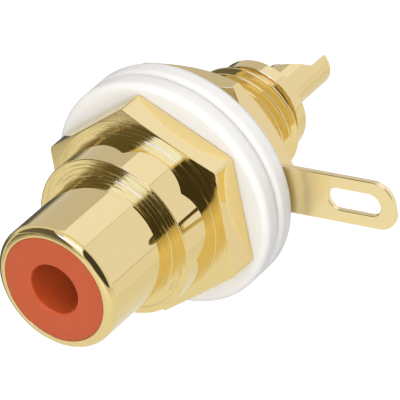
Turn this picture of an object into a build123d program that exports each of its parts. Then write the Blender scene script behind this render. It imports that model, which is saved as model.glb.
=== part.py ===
"""Panel-mounting phono socket with an insulated shell, a solder cup and a solder tag.

The socket's axis is Y. The plug goes in from the front, which is -Y, and the nut goes on
from the rear. The origin is on the axis, on the plane where the panel's front face sits.
All sizes are in millimetres.
"""

import os
from math import cos, radians, sin, tan

from build123d import *

# Centre contact, which grips the plug's pin in front and ends in a solder cup
pin_radius = 1.6
pin_depth = 4.6
finger_wall = 0.4
finger_mouth = 0.2  # chamfer that leads the pin in
finger_count = 4
finger_slot_width = 0.4
finger_slot_length = 3.4
contact_floor = 0.8  # from the end of the pin's bore to the collar
contact_collar_length = 1.2
rod_radius = 1.5
rod_reach = 15.45  # from the panel's front face to the end of the cup
cup_wall = 0.45
cup_bore_depth = 4.8
cup_cut_length = 2.9
cup_cut_slope = 1.4  # length of the sloping part of the cut
cup_cut_step = 0.35  # depth of the straight part before the slope
cup_cut_past_axis = 0.12
cup_cut_corner = 0.5
cup_turn = 140.0  # degrees from +X up to the open side of the cup

# Insulators
insulator_wall = 1.25
insulator_slip = 0.01  # radial, between an insulator and the metal round or inside it
finger_room = 0.25  # radial, for the fingers to spread in
plug_hole_length = 3.2
plug_hole_slip = 0.05  # radial, round the plug's pin
plug_hole_rounding = 0.15
rear_insulator_wall = 0.89

# Shell in front of the panel
barrel_wall = 0.64
barrel_length = 6.3
barrel_rounding = 0.55
body_step = 1.15  # from the barrel out to the body
body_length = 3.0
flange_step = 0.8  # from the body out to a flat of the hexagon
flange_corner = 0.25
flange_thickness = 2.1
flange_turn = 42.5  # degrees from +X up to a corner

# Shell behind the flange
shank_wall = 1.34
shank_length = 9.95  # from the flange to the end of the thread
thread_pitch = 0.8
thread_depth = 0.46
thread_crest = 0.1  # width of the flat top
thread_flank = 30.0  # degrees from a plane across the axis
thread_chamfer = 0.25
undercut_width = 0.55
undercut_depth = 0.8
end_ring_length = 0.95
end_ring_step = 0.55  # from the thread in to the ring
lip_length = 0.25
lip_depth = 0.3

# Insulating washers, whose collar centres the socket in a 10 mm hole
washer_thickness = 1.5
washer_rounding = 0.45
washer_cover = 2.6  # from the edge of the panel's hole out to the washer's rim
washer_slip = 0.1  # radial, round the thread
collar_wall = 1.05
collar_height = 1.2
collar_slip = 0.1  # radial, in the panel's hole

# Solder tag
tag_thickness = 0.35
tag_ring_width = 2.35
tag_slip = 0.1  # radial, round the thread
tag_width = 3.25
tag_reach = 14.85  # from the axis to the tip
tag_tip_radius = 1.3
tag_root_radius = 0.8
tag_slot_width = 1.5
tag_slot_length = 3.7
tag_slot_margin = 1.0  # metal between the slot and the tip
tag_turn = 11.0  # degrees from +X up to the tag

# Nut
nut_wall = 2.25  # from the thread out to a flat
nut_thickness = 2.15
nut_slip = 0.05  # radial, round the thread
nut_face_step = 0.3  # from a flat in to the edge of the chamfer
nut_chamfer_slope = 0.62
nut_bore_chamfer = 0.3
nut_turn = 9.0  # degrees from +X up to a corner

# Small edges and drilled ends
edge_break = 0.1
plastic_edge = 0.05
inner_corner = 0.12
drill_point = 0.5  # height of the cone at the end of a drilled hole, over the hole's radius

# Radii, each from the one inside it
finger_radius = pin_radius + finger_wall
plug_hole_radius = pin_radius + plug_hole_slip
finger_room_radius = finger_radius + finger_room
insulator_radius = finger_room_radius + insulator_wall
barrel_bore = insulator_radius + insulator_slip
barrel_radius = barrel_bore + barrel_wall  # 4.15, the standard outer contact
body_radius = barrel_radius + body_step
flange_flat = body_radius + flange_step  # 6.1, so 12.2 across flats
cup_bore_radius = rod_radius - cup_wall
rod_hole_radius = rod_radius + insulator_slip
rear_insulator_radius = rod_hole_radius + rear_insulator_wall
rear_bore = rear_insulator_radius + insulator_slip
thread_radius = rear_bore + shank_wall  # 3.75
thread_root_radius = thread_radius - thread_depth
undercut_radius = thread_radius - undercut_depth
end_ring_radius = thread_radius - end_ring_step
washer_bore = thread_radius + washer_slip
collar_radius = washer_bore + collar_wall
panel_hole_radius = collar_radius + collar_slip  # 5
washer_radius = panel_hole_radius + washer_cover  # 7.6
tag_bore = thread_radius + tag_slip
tag_ring_radius = tag_bore + tag_ring_width
nut_bore = thread_radius + nut_slip
nut_flat = thread_radius + nut_wall  # 6, so 12 across flats
nut_corner = nut_flat / cos(radians(30))
nut_face_radius = nut_flat - nut_face_step

# Places along the axis, from the panel's front face
flange_rear = -washer_thickness
flange_front = flange_rear - flange_thickness
body_front = flange_front - body_length
front = body_front - barrel_length
tube_front = front + plug_hole_length
fingers_end = tube_front + finger_slot_length
pin_end = tube_front + pin_depth
collar_front = pin_end + contact_floor
collar_rear = collar_front + contact_collar_length
cup_bottom = rod_reach - cup_bore_depth
cup_cut_front = rod_reach - cup_cut_length
thread_end = flange_rear + shank_length
ring_front = thread_end + undercut_width
ring_rear = ring_front + end_ring_length
lip_front = ring_rear - lip_length
nut_front = washer_thickness + tag_thickness
nut_rear = nut_front + nut_thickness

tool_margin = 0.1  # how far a cutting shape runs past the metal
same_place = 0.001  # two sizes closer than this are the same when edges are picked

# Grooves of the thread, drawn as rings of its depth and pitch, as many as end before its chamfer
thread_slope = thread_depth * tan(radians(thread_flank))
thread_run = shank_length - thread_chamfer - thread_crest
thread_turns = int((thread_run + same_place) / thread_pitch)
grooves = []
for turn in range(thread_turns):
    groove_start = flange_rear + thread_crest + turn * thread_pitch
    groove_end = groove_start + thread_pitch - thread_crest
    grooves += [
        (thread_radius, groove_start),
        (thread_root_radius, groove_start + thread_slope),
        (thread_root_radius, groove_end - thread_slope),
        (thread_radius, groove_end),
    ]


def facing_front(y, turn=0.0):
    """Sketch plane across the axis at y that faces the front, its X turned from +X up to +Z."""
    along = (cos(radians(turn)), 0, sin(radians(turn)))
    return Plane(origin=(0, y, 0), x_dir=along, z_dir=(0, -1, 0))


def rings(piece, y, radius):
    """Circular edges of a turned piece at one place along the axis."""
    circles = piece.edges().filter_by(GeomType.CIRCLE)
    here = circles.filter_by(lambda edge: abs(edge.arc_center.Y - y) < same_place)
    return here.filter_by(lambda edge: abs(edge.radius - radius) < same_place)


def rim_at(piece, y):
    """Outer edges of the flat face that crosses the axis at y."""
    across = piece.faces().filter_by(Axis.Y)
    here = across.filter_by(lambda face: abs(face.center().Y - y) < same_place)
    return here.sort_by(SortBy.AREA)[-1].outer_wire().edges()


# Barrel, body, hexagon flange, threaded shank and end ring, turned from one hexagon bar
with BuildPart() as shell:
    with BuildSketch(Plane.XY):
        with BuildLine():
            Polyline(
                (barrel_bore, front),
                (barrel_radius, front),
                (barrel_radius, body_front),
                (body_radius, body_front),
                (body_radius, flange_rear),
                (thread_radius, flange_rear),
                *grooves,
                (thread_radius, thread_end),
                (undercut_radius, thread_end),
                (undercut_radius, ring_front),
                (end_ring_radius, ring_front),
                (end_ring_radius, ring_rear),
                (rear_bore - lip_depth, ring_rear),
                (rear_bore - lip_depth, lip_front),
                (rear_bore, lip_front),
                (rear_bore, collar_front),
                (barrel_bore, collar_front),
                close=True,
            )
        make_face()
    revolve(axis=Axis.Y)
    with BuildSketch(facing_front(flange_rear, flange_turn)) as hexagon:
        RegularPolygon(flange_flat, 6, major_radius=False)
        fillet(hexagon.vertices(), flange_corner)
        Circle(thread_radius, mode=Mode.SUBTRACT)
    extrude(amount=flange_thickness)
    chamfer(rim_at(shell, flange_front), edge_break)
    chamfer(rim_at(shell, flange_rear), edge_break)
    fillet(rings(shell, front, barrel_radius), barrel_rounding)
    fillet(rings(shell, front, barrel_bore), edge_break)
    fillet(rings(shell, body_front, barrel_radius), inner_corner)
    fillet(rings(shell, body_front, body_radius), edge_break)
    fillet(rings(shell, flange_front, body_radius), inner_corner)
    chamfer(rings(shell, thread_end, thread_radius), thread_chamfer)
    fillet(rings(shell, ring_front, end_ring_radius), edge_break)
    fillet(rings(shell, ring_rear, end_ring_radius), edge_break)
shell.part.label = "shell"


# Bush in the barrel: a hole for the plug's pin, then room for the contact's fingers to spread
with BuildPart() as front_insulator:
    with BuildSketch(Plane.XY):
        with BuildLine():
            Polyline(
                (plug_hole_radius, front),
                (insulator_radius, front),
                (insulator_radius, collar_front),
                (finger_radius + insulator_slip, collar_front),
                (finger_radius + insulator_slip, fingers_end),
                (finger_room_radius, fingers_end),
                (finger_room_radius, tube_front),
                (plug_hole_radius, tube_front),
                close=True,
            )
        make_face()
    revolve(axis=Axis.Y)
    fillet(rings(front_insulator, front, plug_hole_radius), plug_hole_rounding)
    fillet(rings(front_insulator, front, insulator_radius), plastic_edge)
front_insulator.part.label = "front_insulator"


# Spring tube for the plug's pin, the collar that holds the contact, its rod and solder cup
with BuildPart() as centre_contact:
    with BuildSketch(Plane.XY):
        with BuildLine():
            Polyline(
                (pin_radius, tube_front),
                (finger_radius, tube_front),
                (finger_radius, collar_front),
                (rear_insulator_radius, collar_front),
                (rear_insulator_radius, collar_rear),
                (rod_radius, collar_rear),
                (rod_radius, rod_reach),
                (cup_bore_radius, rod_reach),
                (cup_bore_radius, cup_bottom),
                (0, cup_bottom - drill_point * cup_bore_radius),
                (0, pin_end + drill_point * pin_radius),
                (pin_radius, pin_end),
                close=True,
            )
        make_face()
    revolve(axis=Axis.Y)
    chamfer(rings(centre_contact, tube_front, pin_radius), finger_mouth)
    with BuildSketch(facing_front(tube_front, cup_turn)):
        with PolarLocations(finger_radius, finger_count):
            Rectangle(2 * finger_wall + 2 * tool_margin, finger_slot_width)
    extrude(amount=-finger_slot_length, mode=Mode.SUBTRACT)

    # The cup's open side is milled away: a short step, a slope, then a cut just past the axis
    side = radians(cup_turn)
    with BuildSketch(Plane((0, 0, 0), x_dir=(0, 1, 0), z_dir=(sin(side), 0, -cos(side)))) as cut:
        with BuildLine():
            Polyline(
                (cup_cut_front, rod_radius + tool_margin),
                (cup_cut_front, rod_radius - cup_cut_step),
                (cup_cut_front + cup_cut_slope, -cup_cut_past_axis),
                (rod_reach + tool_margin, -cup_cut_past_axis),
                (rod_reach + tool_margin, rod_radius + tool_margin),
                close=True,
            )
        make_face()
        fillet(cut.vertices().group_by(Axis.Y)[0].sort_by(Axis.X)[0], cup_cut_corner)
    extrude(amount=rod_radius + tool_margin, both=True, mode=Mode.SUBTRACT)
centre_contact.part.label = "centre_contact"


# Bush round the rod, from the contact's collar to the lip at the rear of the shell
with BuildPart() as rear_insulator:
    with BuildSketch(facing_front(lip_front)):
        Circle(rear_insulator_radius)
        Circle(rod_hole_radius, mode=Mode.SUBTRACT)
    extrude(amount=lip_front - collar_rear)
rear_insulator.part.label = "rear_insulator"


# Washer behind the flange, with the collar that centres it in the panel's hole
with BuildPart() as front_washer:
    with BuildSketch(facing_front(0)):
        Circle(washer_radius)
    extrude(amount=washer_thickness)
    fillet(rings(front_washer, 0, washer_radius), washer_rounding)
    fillet(rings(front_washer, flange_rear, washer_radius), washer_rounding)
    with BuildSketch(facing_front(collar_height)):
        Circle(collar_radius)
    extrude(amount=collar_height)
    chamfer(rings(front_washer, collar_height, collar_radius), edge_break)
    with BuildSketch(facing_front(collar_height)):
        Circle(washer_bore)
    extrude(amount=collar_height + washer_thickness, mode=Mode.SUBTRACT)
front_washer.part.label = "front_washer"


# Washer between the panel and the tag. Without a panel its bore takes the other's collar
with BuildPart() as rear_washer:
    with BuildSketch(facing_front(washer_thickness)):
        Circle(washer_radius)
    extrude(amount=washer_thickness)
    fillet(rings(rear_washer, 0, washer_radius), washer_rounding)
    fillet(rings(rear_washer, washer_thickness, washer_radius), washer_rounding)
    with BuildSketch(facing_front(washer_thickness)):
        Circle(panel_hole_radius)
    extrude(amount=washer_thickness, mode=Mode.SUBTRACT)
rear_washer.part.label = "rear_washer"


# Ring and slotted tab, stamped from sheet
with BuildPart() as solder_tag:
    with BuildSketch(facing_front(nut_front, tag_turn)) as outline:
        with Locations((tag_reach / 2, 0)):
            Rectangle(tag_reach, tag_width)
        fillet(outline.vertices().group_by(Axis.X)[-1], tag_tip_radius)
        Circle(tag_ring_radius)
        fillet(outline.vertices().group_by(Axis.X)[0], tag_root_radius)
        Circle(tag_bore, mode=Mode.SUBTRACT)
        with Locations((tag_reach - tag_slot_margin - tag_slot_length / 2, 0)):
            SlotOverall(tag_slot_length, tag_slot_width, mode=Mode.SUBTRACT)
    extrude(amount=tag_thickness)
solder_tag.part.label = "solder_tag"


# Thin hexagon nut: a hexagon bar turned to a shallow cone on both faces, then bored
with BuildPart() as hex_nut:
    with BuildSketch(facing_front(nut_rear, nut_turn)):
        RegularPolygon(nut_flat, 6, major_radius=False)
    extrude(amount=nut_thickness)
    blank_radius = nut_corner + tool_margin
    cone = (blank_radius - nut_face_radius) * nut_chamfer_slope
    with BuildSketch(Plane.XY):
        with BuildLine():
            Polyline(
                (0, nut_front),
                (nut_face_radius, nut_front),
                (blank_radius, nut_front + cone),
                (blank_radius, nut_rear - cone),
                (nut_face_radius, nut_rear),
                (0, nut_rear),
                close=True,
            )
        make_face()
    revolve(axis=Axis.Y, mode=Mode.INTERSECT)
    with BuildSketch(facing_front(nut_rear)):
        Circle(nut_bore)
    extrude(amount=nut_thickness, mode=Mode.SUBTRACT)
    chamfer(rings(hex_nut, nut_front, nut_bore), nut_bore_chamfer)
    chamfer(rings(hex_nut, nut_rear, nut_bore), nut_bore_chamfer)
hex_nut.part.label = "hex_nut"


os.makedirs("parts", exist_ok=True)
for piece in (
    shell,
    front_insulator,
    centre_contact,
    rear_insulator,
    front_washer,
    rear_washer,
    solder_tag,
    hex_nut,
):
    export_step(piece.part, f"parts/{piece.part.label}.step")
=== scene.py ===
# %% [markdown]
# # Phono socket for a panel
#
# The real object is eight pieces. A brass shell, turned and threaded from hexagon bar and then
# gold-plated, holds a red plastic bush and the centre contact in front and a white bush behind.
# Two white washers keep the shell clear of the panel that they clamp, and a solder tag and a
# thin nut follow on the thread. Here each piece gets what the CAD part leaves out: the real
# thread, the rounded edges and the finish.
#
# The socket's axis is Y, with the plug's side at -Y. Lengths are in millimetres in the cells
# that make meshes, and each mesh is scaled to metres at its end.

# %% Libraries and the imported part
from math import cos, pi, radians

import bmesh
import bpy
from mathutils import Matrix, Vector


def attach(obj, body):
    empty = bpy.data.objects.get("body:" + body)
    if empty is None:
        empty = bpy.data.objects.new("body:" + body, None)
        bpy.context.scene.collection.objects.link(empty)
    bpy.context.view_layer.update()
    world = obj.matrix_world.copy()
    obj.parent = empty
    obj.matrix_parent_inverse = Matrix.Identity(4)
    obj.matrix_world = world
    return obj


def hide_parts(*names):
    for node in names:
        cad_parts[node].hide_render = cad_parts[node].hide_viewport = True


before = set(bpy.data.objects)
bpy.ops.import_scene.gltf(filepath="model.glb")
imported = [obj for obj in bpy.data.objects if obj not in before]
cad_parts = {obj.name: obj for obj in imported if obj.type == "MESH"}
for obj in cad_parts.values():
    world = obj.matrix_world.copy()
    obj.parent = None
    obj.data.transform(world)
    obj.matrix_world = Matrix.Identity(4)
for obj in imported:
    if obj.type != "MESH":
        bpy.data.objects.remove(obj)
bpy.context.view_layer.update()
scene = bpy.context.scene
scene.view_settings.view_transform = "Standard"

# %% [markdown]
# ## Colours and nodes
#
# A colour is written as the hex code that a screen shows, and Blender's shaders want it linear.
# One function adds every node, sets it and links it, so that a material reads as a list.

# %% Colours and nodes
MM = 0.001


def srgb(code):
    """Linear colour with alpha from an sRGB hex code."""
    parts = [int(code[i : i + 2], 16) / 255 for i in (0, 2, 4)]
    linear = [c / 12.92 if c <= 0.04045 else ((c + 0.055) / 1.055) ** 2.4 for c in parts]
    return (*linear, 1.0)


def add(tree, kind, inputs=None, **settings):
    """Adds a node. An input given another node's output is linked, and any other is set."""
    node = tree.nodes.new("ShaderNode" + kind)
    for name, value in settings.items():
        setattr(node, name, value)
    for name, value in (inputs or {}).items():
        if isinstance(value, bpy.types.NodeSocket):
            tree.links.new(value, node.inputs[name])
        else:
            node.inputs[name].default_value = value
    return node


print("The grey 808080 is", round(srgb("808080")[0], 3), "in linear light")

# %% [markdown]
# ## Marks of the lathe
#
# A tool that faces a disc on the lathe leaves one fine spiral, which the eye sees as rings
# round the axis. They are too fine to model. Noise that changes fast along the radius and
# slowly round the axis draws them, and the normal keeps them on the faces across the axis,
# because the barrel and the body are burnished after they are turned.
#
# Real rings are about 0.05 mm apart. These are about 0.11 mm apart, as coarse as they need to
# be to show.

# %% Marks of the lathe
RINGS_PER_MM = 9.0
RING_CHANGES = 1.5  # how often the noise changes in one radian round the axis
FACED_FROM, FACED_TO = 0.9, 0.98  # share of the normal along the axis on a faced surface


def lathe_rings(tree, place):
    """The rings' noise, how far a surface faces along the axis, and its radius in metres."""
    split = add(tree, "SeparateXYZ", {0: place.outputs["Object"]})
    across = add(tree, "CombineXYZ", {0: split.outputs[0], 2: split.outputs[2]})
    length = add(tree, "VectorMath", {0: across.outputs[0]}, operation="LENGTH")
    radius = length.outputs["Value"]
    angle = add(tree, "Math", {0: split.outputs[2], 1: split.outputs[0]}, operation="ARCTAN2")
    outwards = add(tree, "Math", {0: radius, 1: RINGS_PER_MM / MM}, operation="MULTIPLY")
    around = add(tree, "Math", {0: angle.outputs[0], 1: RING_CHANGES}, operation="MULTIPLY")
    polar = add(tree, "CombineXYZ", {0: outwards.outputs[0], 1: around.outputs[0]})
    rings = add(tree, "TexNoise", {"Vector": polar.outputs[0], "Scale": 1.0, "Detail": 3.0})
    normal = add(tree, "SeparateXYZ", {0: place.outputs["Normal"]})
    facing = add(tree, "Math", {0: normal.outputs[1]}, operation="ABSOLUTE")
    faced = add(
        tree,
        "MapRange",
        {"Value": facing.outputs[0], "From Min": FACED_FROM, "From Max": FACED_TO},
    )
    return rings.outputs["Fac"], faced.outputs[0], radius


print("Lathe rings", round(1 / RINGS_PER_MM, 2), "mm apart")

# %% [markdown]
# ## Gold plate
#
# Thin bright gold over brass mirrors the studio and tints what it mirrors. The plate follows
# the metal under it, so its finish is that of the tool. A ring does two things to a mirror: it
# tilts the normal, which draws a reflection out along the radius, and it blurs it. The face
# round the barrel is cut more coarsely than the flange's, so the rings blur more inside the
# body's radius.
#
# An image of scratches could do the same, but it would need a flat layout of each piece, and
# these marks follow the axis by themselves.

# %% Gold plate
MARK_DEPTH = 0.01  # millimetres from the top to the bottom of a ring or a speck
SPECKS_PER_MM = 9.0  # the plate's grain is finer, and this is as coarse as it needs to show
BLUR_FROM, BLUR_TO = 0.45, 0.75  # part of the rings' noise that blurs
COARSE_IN, COARSE_OUT, COARSENESS = 5.2, 5.4, 2.1  # radii in millimetres, and times the blur


def plate(name, colours, roughness, ring_strength, groove_blur, speckle_strength):
    """Gold plate in two close colours over metal with a given finish."""
    material = bpy.data.materials.new(name)
    material.use_nodes = True
    tree = material.node_tree
    shader = tree.nodes["Principled BSDF"]
    place = add(tree, "TexCoord")
    rings, faced, radius = lathe_rings(tree, place)
    specks = add(
        tree,
        "TexNoise",
        {"Vector": place.outputs["Object"], "Scale": SPECKS_PER_MM / MM, "Detail": 2.0},
    )
    tint = add(
        tree,
        "Mix",
        {0: specks.outputs["Fac"], "A": srgb(colours[0]), "B": srgb(colours[1])},
        data_type="RGBA",
    )
    depth = add(tree, "Math", {0: faced, 1: ring_strength}, operation="MULTIPLY")
    ring_bump = add(
        tree,
        "Bump",
        {"Strength": depth.outputs[0], "Distance": MARK_DEPTH * MM, "Height": rings},
    )
    speck_bump = add(
        tree,
        "Bump",
        {
            "Strength": speckle_strength,
            "Distance": MARK_DEPTH * MM,
            "Height": specks.outputs["Fac"],
            "Normal": ring_bump.outputs[0],
        },
    )
    blur = add(
        tree,
        "MapRange",
        {"Value": rings, "From Min": BLUR_FROM, "From Max": BLUR_TO, "To Max": groove_blur},
    )
    coarse = add(
        tree,
        "MapRange",
        {
            "Value": radius,
            "From Min": COARSE_IN * MM,
            "From Max": COARSE_OUT * MM,
            "To Min": COARSENESS,
            "To Max": 1.0,
        },
    )
    blur = add(tree, "Math", {0: blur.outputs[0], 1: coarse.outputs[0]}, operation="MULTIPLY")
    dull = add(
        tree, "Math", {0: faced, 1: blur.outputs[0], 2: roughness}, operation="MULTIPLY_ADD"
    )
    tree.links.new(tint.outputs["Result"], shader.inputs["Base Color"])
    tree.links.new(dull.outputs[0], shader.inputs["Roughness"])
    tree.links.new(speck_bump.outputs[0], shader.inputs["Normal"])
    shader.inputs["Metallic"].default_value = 1.0
    print(name, "of roughness", roughness)
    return material


print("Rings and specks are up to", MARK_DEPTH, "mm deep")

# %% [markdown]
# ## Three finishes of gold
#
# The plate is the same on all the metal pieces, and only the brass under it differs. So one
# function makes all three finishes, and they differ in their numbers.

# %% Three finishes of gold
# Turned and burnished: round sides like a sharp mirror, and rings only on the faces
gold = plate("gold_plate_on_turned_brass", ("EED590", "F0D996"), 0.03, 1.0, 0.3, 0.03)
# Milled flats and plainly faced ends: a softer mirror with faint rings
gold_on_nut = plate("gold_plate_on_milled_brass", ("EACE88", "F2DC9C"), 0.1, 0.4, 0.1, 0.2)
# Stamped from rolled sheet: satin, with highlights that spread into a pale haze
gold_stamped = plate("gold_plate_on_stamped_brass", ("FAE4A4", "FBE6AC"), 0.22, 0.0, 0.0, 0.15)

# %% [markdown]
# ## Plastics
#
# Injection moulding copies the fine grain of its steel mould, so the red bush and the washers
# are satin: they show one soft highlight and no picture of the room. Light goes a millimetre
# or so into plastic and comes out beside where it went in. That softens the shade between the
# washers' rims and lights the wall of the red bush's hole. Plain white paint would look hard
# there. The rear bush is turned from rod.
#
# The grain is about 0.07 mm on the red bush and 0.11 mm on the white pieces, and the colour
# clouds slightly over about 1 mm.

# %% Plastics
CLOUDS_PER_MM = 1.2
GRAIN_DEPTH, GRAIN_STRENGTH = 0.02, 0.15  # depth in millimetres
LIGHT_REACH = 1.0  # millimetres that red light goes in
REACH_BY_COLOUR = (1.0, 0.8, 0.6)  # shares of it for red, green and blue


def moulded(name, colours, roughness, shine, inside, grains_per_mm):
    """Satin plastic in two close colours. Inside is the share of light that goes in."""
    material = bpy.data.materials.new(name)
    material.use_nodes = True
    tree = material.node_tree
    shader = tree.nodes["Principled BSDF"]
    place = add(tree, "TexCoord").outputs["Object"]
    cloud = add(tree, "TexNoise", {"Vector": place, "Scale": CLOUDS_PER_MM / MM, "Detail": 2.0})
    grain = add(tree, "TexNoise", {"Vector": place, "Scale": grains_per_mm / MM, "Detail": 1.0})
    tint = add(
        tree,
        "Mix",
        {0: cloud.outputs["Fac"], "A": srgb(colours[0]), "B": srgb(colours[1])},
        data_type="RGBA",
    )
    bump = add(
        tree,
        "Bump",
        {
            "Strength": GRAIN_STRENGTH,
            "Distance": GRAIN_DEPTH * MM,
            "Height": grain.outputs["Fac"],
        },
    )
    tree.links.new(tint.outputs["Result"], shader.inputs["Base Color"])
    tree.links.new(bump.outputs[0], shader.inputs["Normal"])
    shader.inputs["Roughness"].default_value = roughness
    shader.inputs["Specular IOR Level"].default_value = shine
    shader.inputs["Subsurface Weight"].default_value = inside
    shader.inputs["Subsurface Radius"].default_value = REACH_BY_COLOUR
    shader.inputs["Subsurface Scale"].default_value = LIGHT_REACH * MM
    print(name, "of roughness", roughness)
    return material


# Deeply coloured, so light that goes in comes out warmer
red = moulded("moulded_orange_red_plastic", ("C55426", "C95A2C"), 0.36, 0.4, 0.5, 15.0)
# Cloudy white nylon, which glows a little at its rims
white = moulded("moulded_white_nylon", ("F3F0EB", "F7F4EF"), 0.4, 0.5, 0.25, 9.0)
# Denser acetal, which lets little light in
natural = moulded("turned_white_acetal", ("ECE9E2", "F2F0EA"), 0.35, 0.5, 0.1, 9.0)

# %% [markdown]
# ## Shell: the turned section
#
# The lathe makes the shell, so it starts as one section beside the axis. Each corner that the
# tool rounds is a bevel of that one vertex, and a full spin about the axis gives the solid.
# Cylinders could be joined instead, but then every rounding has to be cut along their joints.
#
# The section runs from the flange's front face over the body and the barrel, back through the
# two bores and out over the rear ring to the undercut at the end of the thread. Its last edge
# is taken out, because the hexagon and the thread close the shell there.

# %% Shell: the turned section
AXIS = Vector((0, 1, 0))
AROUND = 192  # steps in one full turn
STEPS_PER_MM = 14  # segments of a rounding for each millimetre of it
FRONT, BODY_FRONT, FLANGE_FRONT, FLANGE_REAR = -12.9, -6.6, -3.6, -1.5
THREAD_END, RING_FRONT, LIP_FRONT, RING_REAR = 8.45, 9.0, 9.7, 9.95
BARREL_RADIUS, BARREL_BORE, BODY_RADIUS, FLANGE_FACE = 4.15, 3.51, 5.3, 6.0
REAR_BORE, LIP_BORE, UNDERCUT_RADIUS, RING_RADIUS = 2.41, 2.11, 2.95, 3.2
BORE_FLOOR = -4.3


def section(bm, corners):
    """Closed run of edges through (radius, y, rounding) corners beside the axis."""
    corner_verts = [bm.verts.new((radius, y, 0)) for radius, y, _ in corners]
    face = bm.faces.new(corner_verts)
    for vert, (_, _, rounding) in zip(corner_verts, corners):
        if rounding:
            bmesh.ops.bevel(
                bm,
                geom=[vert],
                offset=rounding,
                segments=max(3, round(STEPS_PER_MM * rounding)),
                profile=0.5,
                affect="VERTICES",
                material=-1,
            )
    bmesh.ops.delete(bm, geom=[face] if face.is_valid else bm.faces[:], context="FACES_ONLY")
    return bm.edges[:]


def spin(bm, edges):
    """Turns a section once round the axis."""
    geom = list({vert for edge in edges for vert in edge.verts}) + list(edges)
    bmesh.ops.spin(
        bm, geom=geom, cent=(0, 0, 0), axis=AXIS, angle=2 * pi, steps=AROUND, use_merge=True
    )


shell_mesh = bmesh.new()
edges = section(
    shell_mesh,
    [
        (FLANGE_FACE, FLANGE_FRONT, 0),
        (BODY_RADIUS, FLANGE_FRONT, 0.07),
        (BODY_RADIUS, BODY_FRONT, 0.08),
        (BARREL_RADIUS, BODY_FRONT, 0.08),
        (BARREL_RADIUS, FRONT, 0.55),
        (BARREL_BORE, FRONT, 0.03),
        (BARREL_BORE, BORE_FLOOR, 0),
        (REAR_BORE, BORE_FLOOR, 0),
        (REAR_BORE, LIP_FRONT, 0),
        (LIP_BORE, LIP_FRONT, 0),
        (LIP_BORE, RING_REAR, 0.06),
        (RING_RADIUS, RING_REAR, 0.1),
        (RING_RADIUS, RING_FRONT, 0.1),
        (UNDERCUT_RADIUS, RING_FRONT, 0.05),
        (UNDERCUT_RADIUS, THREAD_END, 0),
    ],
)
last_ends = {FLANGE_FRONT, THREAD_END}
closing = [e for e in edges if {round(v.co.y, 3) for v in e.verts} == last_ends]
bmesh.ops.delete(shell_mesh, geom=closing, context="EDGES")
spin(shell_mesh, shell_mesh.edges[:])
print("turned section:", len(closing), "edge left open,", len(shell_mesh.faces), "faces")

# %% [markdown]
# ## Shell: the hexagon
#
# The flange is what is left of the hexagon bar. Chamfering on the lathe cuts its corners back
# along a shallow cone, which meets each flat in a low arch. Each loop here is a hexagon with
# rounded corners, and a vertex of it lies as far back as the cone is at its distance from the
# axis. A loop has as many edges as the spin has steps, so that bridging them joins one vertex
# to one vertex.

# %% Shell: the hexagon
FLANGE_FLAT = 6.1  # from the axis to a flat
FLANGE_TURN = 42.5  # degrees from +X up to a corner
FLANGE_CONE = 0.12  # how far the cone goes back for each millimetre out
FLANGE_EDGE = 0.04  # rounding of the front edge
REAR_EDGE = 0.1  # chamfer of the rear edge
CORNER_ROUNDING, CORNER_STEPS = 0.15, 4
SAME_PLACE = 1e-4  # millimetres within which two heights count as one


def polygon(bm, flat, turn, y):
    """Edges of a regular hexagon across the axis, its first corner turned from +X up to +Z."""
    place = Matrix.Translation((0, y, 0)) @ Matrix.Rotation(radians(90 - turn), 4, "Y")
    place = place @ Matrix.Rotation(radians(90), 4, "X")
    made = bmesh.ops.create_circle(
        bm, cap_ends=False, radius=flat / cos(radians(30)), segments=6, matrix=place
    )
    return list({edge for vert in made["verts"] for edge in vert.link_edges})


def ring_edges(bm, y, low, high):
    """Open edges of the mesh in the plane across the axis at y, between two radii."""
    found = []
    for edge in bm.edges:
        a, b = (vert.co for vert in edge.verts)
        if abs(a.y - y) < SAME_PLACE and abs(b.y - y) < SAME_PLACE and edge.is_boundary:
            if low < (a.xz.length + b.xz.length) / 2 < high:
                found.append(edge)
    return found


# Each loop's step in from the flat, its place behind the flange's front, and its cone
hexagons = []
for inset, back, cone in (
    (FLANGE_EDGE, 0.0, FLANGE_CONE),
    (0.3 * FLANGE_EDGE, 0.3 * FLANGE_EDGE, FLANGE_CONE),
    (0.0, FLANGE_EDGE, FLANGE_CONE),
    (0.0, FLANGE_REAR - REAR_EDGE - FLANGE_FRONT, 0.0),
    (REAR_EDGE, FLANGE_REAR - FLANGE_FRONT, 0.0),
):
    before = set(shell_mesh.edges)
    loop = polygon(shell_mesh, FLANGE_FLAT - inset, FLANGE_TURN, FLANGE_FRONT + back)
    bmesh.ops.bevel(
        shell_mesh,
        geom=list({vert for edge in loop for vert in edge.verts}),
        offset=CORNER_ROUNDING,
        segments=CORNER_STEPS,
        profile=0.5,
        affect="VERTICES",
        material=-1,
    )
    loop = [edge for edge in shell_mesh.edges if edge not in before]
    sides = [edge for edge in loop if edge.calc_length() > 1]
    bmesh.ops.subdivide_edges(shell_mesh, edges=sides, cuts=AROUND // 6 - CORNER_STEPS - 1)
    hexagons.append([edge for edge in shell_mesh.edges if edge not in before])
    for vert in {vert for edge in hexagons[-1] for vert in edge.verts}:
        vert.co.y += cone * (vert.co.xz.length - FLANGE_FACE)
face_ring = ring_edges(shell_mesh, FLANGE_FRONT, FLANGE_FACE - 0.1, FLANGE_FACE + 0.01)
bmesh.ops.bridge_loops(shell_mesh, edges=face_ring + hexagons[0])
for first, second in zip(hexagons, hexagons[1:]):
    bmesh.ops.bridge_loops(shell_mesh, edges=first + second)
print("edges in the loops:", len(face_ring), [len(loop) for loop in hexagons])

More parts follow.
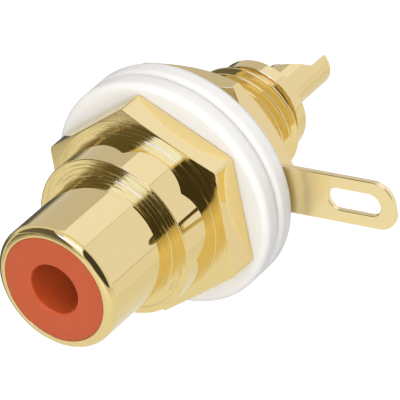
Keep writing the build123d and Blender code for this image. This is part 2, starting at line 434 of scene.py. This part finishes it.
# %% [markdown]
# ## Shell: the thread
#
# A real screw thread is a helix, so one pitch of its outline is spun and moved along the axis
# at the same time. Rings would be simpler, but a helix catches the light a little further
# along at each angle, and its turns slant. It is made too long, then cut flush where the
# flange starts and where the undercut ends it, and the last quarter of a millimetre tapers as
# the chamfer of a real thread does.

# %% Shell: the thread
THREAD_RADIUS, THREAD_DEPTH, PITCH = 3.75, 0.46, 0.8
THREAD_CHAMFER = 0.25
TURNS, TURN_STEPS = 14, 160
TURN_GAP = 0.002  # how near one turn's end is to the next one's start, to be merged

# One pitch from root to root, with flanks of 30 degrees and a rounded root and crest
crest, root = THREAD_RADIUS, THREAD_RADIUS - THREAD_DEPTH
one_pitch = [
    (root, 0.0),
    (root, 0.05),
    (root + 0.03, 0.1),
    (crest - 0.03, 0.33),
    (crest - 0.005, 0.365),
    (crest, 0.4),
    (crest - 0.005, 0.435),
    (crest - 0.03, 0.47),
    (root + 0.03, 0.7),
    (root, 0.75),
    (root, PITCH),
]
thread_mesh = bmesh.new()
thread_start = FLANGE_REAR - 1.5 * PITCH
verts = [thread_mesh.verts.new((radius, thread_start + y, 0)) for radius, y in one_pitch]
outline = [thread_mesh.edges.new(pair) for pair in zip(verts, verts[1:])]
bmesh.ops.spin(
    thread_mesh,
    geom=verts + outline,
    cent=(0, 0, 0),
    axis=AXIS,
    dvec=AXIS * (PITCH / TURN_STEPS),
    angle=2 * pi * TURNS,
    steps=TURN_STEPS * TURNS,
)
bmesh.ops.remove_doubles(thread_mesh, verts=thread_mesh.verts[:], dist=TURN_GAP)
# Cuts off what lies before the flange's rear, adds a line where the chamfer starts, and cuts
# off what lies past the thread's end
for y, side in ((FLANGE_REAR, -1), (THREAD_END - THREAD_CHAMFER, 0), (THREAD_END, 1)):
    bmesh.ops.bisect_plane(
        thread_mesh,
        geom=thread_mesh.verts[:] + thread_mesh.edges[:] + thread_mesh.faces[:],
        plane_co=(0, y, 0),
        plane_no=AXIS,
        clear_outer=side > 0,
        clear_inner=side < 0,
        dist=SAME_PLACE / 10,
    )
# The chamfer is a cone of 45 degrees, and no point stands out of it
for vert in thread_mesh.verts:
    limit = THREAD_RADIUS - max(0.0, vert.co.y - (THREAD_END - THREAD_CHAMFER))
    if vert.co.xz.length > limit:
        scale = limit / vert.co.xz.length
        vert.co.x *= scale
        vert.co.z *= scale
threaded_turns = round((THREAD_END - FLANGE_REAR) / PITCH, 1)
print("thread:", len(thread_mesh.faces), "faces,", threaded_turns, "turns")

# %% [markdown]
# ## Shell: joined and finished
#
# The thread's mesh joins the shell's. Its two cut ends are flat but not round, so a fill of
# triangles between each and the loop beside it closes the shell. A boolean would join them
# too, but it leaves slivers along such a seam.
#
# Every piece ends in the same way. Edges where two faces meet at more than 30 degrees stay
# sharp and the rest shade smoothly, with normals weighted by the faces' areas, which keeps a
# flat or straight face true right up to its rounding.

# %% Shell: joined and finished
SHARP = 30.0  # degrees
MERGE = 0.001  # millimetres


def finish(bm, name, material, body, node):
    """Closes the mesh, scales it to metres and puts it on its body in place of a CAD node.

    The normals are weighted while the mesh is in millimetres, because the modifier skips
    faces whose area is next to nothing, which in metres is all of them.
    """
    bmesh.ops.remove_doubles(bm, verts=bm.verts[:], dist=MERGE)
    bmesh.ops.recalc_face_normals(bm, faces=bm.faces[:])
    open_edges = sum(1 for edge in bm.edges if not edge.is_manifold)
    volume = bm.calc_volume()
    rough_mesh = bpy.data.meshes.new(name)
    bm.to_mesh(rough_mesh)
    bm.free()
    rough_mesh.shade_smooth()
    rough_mesh.set_sharp_from_angle(angle=radians(SHARP))
    rough_mesh.materials.append(material)
    piece = bpy.data.objects.new(name, rough_mesh)
    scene.collection.objects.link(piece)
    weighted = piece.modifiers.new("Face weighted normals", "WEIGHTED_NORMAL")
    weighted.keep_sharp = True
    weighted_piece = piece.evaluated_get(bpy.context.evaluated_depsgraph_get())
    piece.data = bpy.data.meshes.new_from_object(weighted_piece)
    piece.modifiers.clear()
    bpy.data.meshes.remove(rough_mesh)
    piece.data.name = name
    piece.data.transform(Matrix.Scale(MM, 4))
    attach(piece, body)
    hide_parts(node)
    faces = len(piece.data.polygons)
    print(name, faces, "faces,", open_edges, "open edges,", round(volume, 1), "mm3")


thread_copy = bpy.data.meshes.new("thread")
thread_mesh.to_mesh(thread_copy)
thread_mesh.free()
shell_mesh.from_mesh(thread_copy)
bpy.data.meshes.remove(thread_copy)
# The thread's cut ends and the undercut's edge, each found between two radii
front_cut = ring_edges(shell_mesh, FLANGE_REAR, 3.0, 4.0)
rear_cut = ring_edges(shell_mesh, THREAD_END, 3.1, 4.0)
undercut = ring_edges(shell_mesh, THREAD_END, 2.9, 3.0)
print("edges round the thread's ends:", len(front_cut), len(rear_cut), len(undercut))
bmesh.ops.triangle_fill(shell_mesh, edges=hexagons[-1] + front_cut, use_beauty=True)
bmesh.ops.triangle_fill(shell_mesh, edges=rear_cut + undercut, use_beauty=True)
finish(shell_mesh, "socket_shell", gold, "base", "shell")

# %% [markdown]
# ## Bushes
#
# The red bush is flush with the barrel's mouth. Its small hole lets the plug's pin through, and
# the wider one behind leaves the contact's fingers room to spread. The white rear bush carries
# the contact's rod in the shank. Both are round, so they are spun sections like the shell's,
# and each is a hundredth of a millimetre smaller than its bore.

# %% Bushes
PIN_HOLE, FINGER_ROOM, FINGER_SEAT = 1.65, 2.25, 2.01
TUBE_FRONT, FINGERS_END = -9.7, -6.3
ROD_HOLE, REAR_BUSH_FRONT = 1.51, -3.1
BUSH_GAP = 0.01


def turned(corners):
    """A closed piece turned about the axis."""
    bm = bmesh.new()
    spin(bm, section(bm, corners))
    return bm


front_bush_mesh = turned(
    [
        (PIN_HOLE, FRONT, 0.15),
        (BARREL_BORE - BUSH_GAP, FRONT, 0.02),
        (BARREL_BORE - BUSH_GAP, BORE_FLOOR, 0),
        (FINGER_SEAT, BORE_FLOOR, 0),
        (FINGER_SEAT, FINGERS_END, 0),
        (FINGER_ROOM, FINGERS_END, 0),
        (FINGER_ROOM, TUBE_FRONT, 0),
        (PIN_HOLE, TUBE_FRONT, 0),
    ]
)
rear_bush_mesh = turned(
    [
        (ROD_HOLE, REAR_BUSH_FRONT, 0),
        (REAR_BORE - BUSH_GAP, REAR_BUSH_FRONT, 0),
        (REAR_BORE - BUSH_GAP, LIP_FRONT, 0),
        (ROD_HOLE, LIP_FRONT, 0),
    ]
)
finish(front_bush_mesh, "front_bush", red, "base", "front_insulator")
finish(rear_bush_mesh, "rear_bush", natural, "base", "rear_insulator")

# %% [markdown]
# ## Washers
#
# Both washers are moulded rings with round rims. The front one has a collar that centres the
# socket in the panel's hole, and the rear one fits over that collar while there is no panel.
# A torus would give only the rim, while a section gives the flat sides and the collar as well.

# %% Washers
WASHER_RADIUS, WASHER_THICKNESS, RIM_ROUNDING = 7.6, 1.5, 0.45
WASHER_BORE, COLLAR_RADIUS, COLLAR_LENGTH, PANEL_HOLE = 3.85, 4.9, 1.2, 5.0  # radii, length

collar_washer_mesh = turned(
    [
        (WASHER_BORE, -WASHER_THICKNESS, 0.05),
        (WASHER_RADIUS, -WASHER_THICKNESS, RIM_ROUNDING),
        (WASHER_RADIUS, 0.0, RIM_ROUNDING),
        (COLLAR_RADIUS, 0.0, 0),
        (COLLAR_RADIUS, COLLAR_LENGTH, 0.1),
        (WASHER_BORE, COLLAR_LENGTH, 0.05),
    ]
)
plain_washer_mesh = turned(
    [
        (PANEL_HOLE, 0.0, 0.05),
        (WASHER_RADIUS, 0.0, RIM_ROUNDING),
        (WASHER_RADIUS, WASHER_THICKNESS, RIM_ROUNDING),
        (PANEL_HOLE, WASHER_THICKNESS, 0.05),
    ]
)
finish(collar_washer_mesh, "collar_washer", white, "base", "front_washer")
finish(plain_washer_mesh, "plain_washer", white, "clamp", "rear_washer")

# %% [markdown]
# ## Nut
#
# A slice of hexagon bar, drilled and then chamfered on both faces. As on the flange, each
# vertex of a hexagon lies as far back as the cone is there, but this cone is steep and leaves
# clear arches on the flats. A bevel of the corners would leave straight edges in their place.
# The nut's own thread can't be seen, so its bore stays plain.

# %% Nut
NUT_FRONT, NUT_REAR, NUT_FLAT, NUT_FACE, NUT_TURN = 1.85, 4.0, 6.0, 5.7, 9.0
NUT_BORE, BORE_CHAMFER = 3.8, 0.3
CONE_SLOPE = 0.62  # how far the cone goes back for each millimetre out

nut_mesh = bmesh.new()
edges = section(
    nut_mesh,
    [
        (NUT_FACE, NUT_FRONT, 0),
        (NUT_BORE + BORE_CHAMFER, NUT_FRONT, 0),
        (NUT_BORE, NUT_FRONT + BORE_CHAMFER, 0),
        (NUT_BORE, NUT_REAR - BORE_CHAMFER, 0),
        (NUT_BORE + BORE_CHAMFER, NUT_REAR, 0),
        (NUT_FACE, NUT_REAR, 0),
    ],
)
outside = [e for e in edges if all(abs(v.co.x - NUT_FACE) < SAME_PLACE for v in e.verts)]
bmesh.ops.delete(nut_mesh, geom=outside, context="EDGES")
spin(nut_mesh, nut_mesh.edges[:])
outlines = []
for y, way in ((NUT_FRONT, 1), (NUT_REAR, -1)):
    before = set(nut_mesh.edges)
    loop = polygon(nut_mesh, NUT_FLAT, NUT_TURN, y)
    bmesh.ops.subdivide_edges(nut_mesh, edges=loop, cuts=AROUND // 6 - 1)
    outlines.append([edge for edge in nut_mesh.edges if edge not in before])
    for vert in {vert for edge in outlines[-1] for vert in edge.verts}:
        vert.co.y += way * CONE_SLOPE * (vert.co.xz.length - NUT_FACE)
for y, outline in zip((NUT_FRONT, NUT_REAR), outlines):
    face_ring = ring_edges(nut_mesh, y, NUT_FACE - 0.1, NUT_FACE + 0.1)
    bmesh.ops.bridge_loops(nut_mesh, edges=face_ring + outline)
bmesh.ops.bridge_loops(nut_mesh, edges=outlines[0] + outlines[1])
print("nut:", len(nut_mesh.faces), "faces before its corners are rounded")

# %% [markdown]
# ## Nut: corners
#
# A piece is tumbled smooth before it is plated, so the six corners are rounded a little. They
# are the only edges so far out at which two faces meet at a steep angle, so a bevel of those
# edges is enough.

# %% Nut: corners
NUT_EDGE = 0.06  # millimetres
STEEP = 20.0  # degrees

bmesh.ops.remove_doubles(nut_mesh, verts=nut_mesh.verts[:], dist=MERGE)
bmesh.ops.recalc_face_normals(nut_mesh, faces=nut_mesh.faces[:])
steep = [e for e in nut_mesh.edges if e.is_manifold and e.calc_face_angle() > radians(STEEP)]
corners = [e for e in steep if min(v.co.xz.length for v in e.verts) > NUT_FLAT - 0.1]
bmesh.ops.bevel(
    nut_mesh, geom=corners, offset=NUT_EDGE, segments=2, profile=0.5, affect="EDGES", material=-1
)
finish(nut_mesh, "hexagon_nut", gold_on_nut, "nut", "hex_nut")

# %% [markdown]
# ## Tag and contact
#
# The tag is stamped from sheet, and the contact is turned, drilled and milled. Their solids are
# already right in the CAD part, so these are copies of its meshes with the edges that the
# tools and the plating round off. The loose triangles are merged first, and flat ones joined,
# so that the bevel sees whole faces.

# %% Tag and contact
FLAT = 0.5  # degrees between triangles that are one flat face
EDGE = 35.0  # degrees between faces that meet in an edge


def edged_copy(node, name, material, body, width, segments):
    """Puts a copy of a CAD node's mesh, with rounded edges, in its place."""
    bm = bmesh.new()
    bm.from_mesh(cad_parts[node].data)
    bm.transform(Matrix.Scale(1 / MM, 4))
    bmesh.ops.remove_doubles(bm, verts=bm.verts[:], dist=MERGE / 2)
    bmesh.ops.dissolve_limit(
        bm, angle_limit=radians(FLAT), verts=bm.verts[:], edges=bm.edges[:], delimit=set()
    )
    bmesh.ops.bevel(
        bm,
        geom=[e for e in bm.edges if e.is_manifold and e.calc_face_angle() > radians(EDGE)],
        offset=width,
        segments=segments,
        profile=0.5,
        affect="EDGES",
        material=-1,
        clamp_overlap=True,
    )
    finish(bm, name, material, body, node)


edged_copy("solder_tag", "slotted_solder_tag", gold_stamped, "tag", 0.07, 3)
edged_copy("centre_contact", "centre_contact_and_cup", gold, "base", 0.03, 1)

# %% [markdown]
# ## Studio panels
#
# Polished metal shows only what stands round it. A photographer puts it in a white tent with
# dark and bright panels, and its crisp bands are their mirror images. Lamps alone would leave
# the gold black with a few sparks. So the panels here glow, are seen only in reflections, and
# light nothing else.
#
# Each is a strip of a drum round the socket's axis, between two angles from +X up to +Z and
# two distances along the axis. Strips behind the socket show in its round sides. Strips before
# it show where light is mirrored twice, by a round side and by a face across the axis.
# The low ones are on narrower drums, because the floor is only 60 mm below the axis and hides
# what lies under it.

# %% Studio panels
DRUM, NARROW_DRUM = 200.0, 68.0  # radii
STRIP_STEP = 4  # degrees


def glow(name, colour, start, stop, first, last):
    """Light whose strength runs from first to last between two angles round the axis."""
    material = bpy.data.materials.new(name)
    material.use_nodes = True
    tree = material.node_tree
    tree.nodes.clear()
    place = add(tree, "SeparateXYZ", {0: add(tree, "TexCoord").outputs["Object"]})
    angle = add(tree, "Math", {0: place.outputs[2], 1: place.outputs[0]}, operation="ARCTAN2")
    whole_turn = -2 * pi if start > 180 else 0.0
    strength = add(
        tree,
        "MapRange",
        {
            "Value": angle.outputs[0],
            "From Min": radians(start) + whole_turn,
            "From Max": radians(stop) + whole_turn,
            "To Min": first,
            "To Max": last,
        },
    )
    light = add(tree, "Emission", {"Color": srgb(colour), "Strength": strength.outputs[0]})
    add(tree, "OutputMaterial", {"Surface": light.outputs[0]})
    return material


def panel(name, start, stop, reach, colour, first, last=None, radius=DRUM):
    """A strip of the drum between two angles, from one distance along the axis to another."""
    bm = bmesh.new()
    ends = [bm.verts.new((radius, y, 0)) for y in reach]
    edge = bm.edges.new(ends)
    bmesh.ops.rotate(
        bm, cent=(0, 0, 0), matrix=Matrix.Rotation(-radians(start), 3, "Y"), verts=ends
    )
    bmesh.ops.spin(
        bm,
        geom=[*ends, edge],
        cent=(0, 0, 0),
        axis=-AXIS,
        angle=radians(stop - start),
        steps=max(2, round((stop - start) / STRIP_STEP)),
    )
    bm.transform(Matrix.Scale(MM, 4))
    mesh = bpy.data.meshes.new(name)
    bm.to_mesh(mesh)
    bm.free()
    last = first if last is None else last
    mesh.materials.append(glow(name, colour, start, stop, first, last))
    strip = bpy.data.objects.new(name, mesh)
    scene.collection.objects.link(strip)
    strip.visible_camera = False
    strip.visible_diffuse = False
    strip.visible_shadow = False
    strip.visible_transmission = False
    print(f"{name}: {start} to {stop} degrees, strength {first} to {last}")


print("Panels stand", NARROW_DRUM, "to", DRUM, "mm from the axis")

# %% [markdown]
# ## Studio: behind the socket
#
# From the lower right over the top to the lower left: the pale tent, the brighter top panel
# that gives the barrel its lightest band, a grey one, and a dark edge that draws the barrel's
# outline. Two thin lines, on a drum just inside the panels' own, are the gaps between them.

# %% Studio: behind the socket
BEHIND, BEHIND_LOW = (40, 900), (-25, 900)  # where a strip starts and stops along the axis
LINE_DRUM, LOW_DRUM = 195.0, 100.0
PALE = "F4F4FF"
panel("light_right", -5, 71, BEHIND, "E8EAFF", 1.12)
panel("light_top", 71, 115, BEHIND, "E0E4FF", 1.34)
panel("grey_left", 115, 179, BEHIND, "F0F0FF", 0.74)
panel("shade_left", 181, 196, BEHIND_LOW, "FFFFFF", 0.6, 0.1, NARROW_DRUM)
panel("dark_left", 196, 216, BEHIND_LOW, "FFFFFF", 0.1, 0.13, NARROW_DRUM)
panel("shade_low", 216, 240, BEHIND_LOW, "FFFFFF", 0.13, 0.75, NARROW_DRUM)
panel("line_low", -6.5, -5.5, BEHIND, "FFFFFF", 0.7, radius=LINE_DRUM)
panel("line_high", 70.5, 71.5, BEHIND, "FFFFFF", 0.7, radius=LINE_DRUM)
panel("light_low", -30, -6.5, BEHIND, PALE, 0.97, radius=LOW_DRUM)

# %% [markdown]
# ## Studio: before the socket
#
# The dark room behind the camera gives the black-brown patches on the flange, and a softbox
# over it gives the white wedge between them. Gold takes blue out of light at each reflection,
# so a softbox that is seen by two has to be blueish to look white. The barrel's rounded edge
# shows this side by one reflection, so plain panels flank the softbox and keep it narrow there.

# %% Studio: before the socket
BEFORE = (-900, -40)
ROOM_DRUM = 150.0
panel("room", -1, 67, BEFORE, "FFFFFF", 0.06)
panel("softbox", 70, 119, (-260, -150), "8098FF", 5.5)
panel("softbox_near", 70, 104, (-150, -40), PALE, 1.3)
panel("softbox_far", 70, 119, (-900, -260), PALE, 1.3)
panel("dim_left", 119, 179, BEFORE, "FFFFFF", 0.12, 0.16)
panel("dim_low", 181, 206, BEFORE, "FFFFFF", 0.14, 0.36, NARROW_DRUM)
panel("low_left", 206, 222, BEFORE, "FFFFFF", 0.36, 0.7, NARROW_DRUM)
panel("low_room", -22, -1, BEFORE, "FFFFFF", 0.95, 0.62, ROOM_DRUM)

# %% [markdown]
# ## Floor
#
# A sheet of pale paper, well below the socket, so that its shadow is wide and faint. To the
# camera the paper also glows, which makes it white without more light on the object. The metal
# mirrors about half of that glow, because a fully white floor would clip in it.

# %% Floor
FLOOR_HEIGHT = -60.0  # millimetres
FLOOR_GLOW, GLOW_IN_METAL = 0.75, 0.56  # the glow, and the share of it that metal mirrors


def seen_by(tree, glossy_share):
    """One to the camera and through glass, and the given share in a reflection."""
    rays = add(tree, "LightPath")
    straight = add(
        tree,
        "Math",
        {0: rays.outputs["Is Camera Ray"], 1: rays.outputs["Is Transmission Ray"]},
        operation="MAXIMUM",
    )
    mirrored = add(
        tree, "Math", {0: rays.outputs["Is Glossy Ray"], 1: glossy_share}, operation="MULTIPLY"
    )
    seen = add(
        tree, "Math", {0: straight.outputs[0], 1: mirrored.outputs[0]}, operation="MAXIMUM"
    )
    return seen.outputs[0]


floor_bmesh = bmesh.new()
bmesh.ops.create_grid(floor_bmesh, x_segments=1, y_segments=1, size=3.0)
floor_mesh = bpy.data.meshes.new("floor")
floor_bmesh.to_mesh(floor_mesh)
floor_bmesh.free()
floor = bpy.data.objects.new("floor", floor_mesh)
floor.location.z = FLOOR_HEIGHT * MM
scene.collection.objects.link(floor)

floor_material = bpy.data.materials.new("pale_paper")
floor_material.use_nodes = True
tree = floor_material.node_tree
tree.nodes.clear()
strength = add(
    tree, "Math", {0: seen_by(tree, GLOW_IN_METAL), 1: FLOOR_GLOW}, operation="MULTIPLY"
)
paper = add(tree, "BsdfDiffuse", {"Color": srgb("B4B5B9")})
fill = add(tree, "Emission", {"Strength": strength.outputs[0]})
both = add(tree, "AddShader", {0: paper.outputs[0], 1: fill.outputs[0]})
add(tree, "OutputMaterial", {"Surface": both.outputs[0]})
floor_mesh.materials.append(floor_material)
print("floor", FLOOR_HEIGHT, "mm from the axis")

# %% [markdown]
# ## Tent and lamps
#
# The world is the white tent. It is plain white to the camera and in reflections, and a little
# weaker as light. Three soft lamps add direction: one above for the rims, a weak one from the
# right, and one near the camera that reaches into the bush's hole. None shows in the metal.

# %% Tent and lamps
TENT_LIGHT = 0.75

world = bpy.data.worlds.new("tent")
scene.world = world
world.use_nodes = True
tree = world.node_tree
tree.nodes.clear()
strength = add(
    tree, "MapRange", {"Value": seen_by(tree, 1.0), "To Min": TENT_LIGHT, "To Max": 1.0}
)
sky = add(tree, "Background", {"Strength": strength.outputs[0]})
add(tree, "OutputWorld", {"Surface": sky.outputs[0]})


def lamp(name, energy, size, place):
    """A square lamp that faces the socket."""
    data = bpy.data.lights.new(name, "AREA")
    data.energy = energy
    data.size = size
    light = bpy.data.objects.new(name, data)
    light.location = place
    light.rotation_euler = (-Vector(place)).to_track_quat("-Z", "Y").to_euler()
    light.visible_glossy = False
    scene.collection.objects.link(light)
    print(name, energy, "W")


# Watts, then the side and the place in metres
lamp("top_softbox", 0.42, 0.3, (-0.05, -0.15, 0.4))
lamp("right_fill", 0.15, 0.3, (0.35, -0.2, 0.1))
lamp("front_fill", 0.85, 0.25, (0.14, -0.36, 0.14))

# %% [markdown]
# ## Camera
#
# The circles of the barrel and the washers are ellipses in the photograph, and their shapes and
# places fix the camera: where it is, what it faces and how long its lens is. A camera set by
# eye would put the mirrored bands in other places as well.

# %% Camera
CAMERA_PLACE = Vector((0.12992, -0.19623, 0.16773))  # metres
CAMERA_AIM = Vector((0.005512, -0.005626, 0.004287))
camera_data = bpy.data.cameras.new("camera")
camera_data.sensor_width = 36.0
camera_data.lens = 429.46
camera_data.clip_start = 0.01
camera_data.clip_end = 20.0
camera = bpy.data.objects.new("camera", camera_data)
camera.location = CAMERA_PLACE
camera.rotation_mode = "QUATERNION"
camera.rotation_quaternion = (CAMERA_AIM - CAMERA_PLACE).to_track_quat("-Z", "Y")
scene.collection.objects.link(camera)
scene.camera = camera
print("camera", round((CAMERA_AIM - CAMERA_PLACE).length / MM), "mm away")
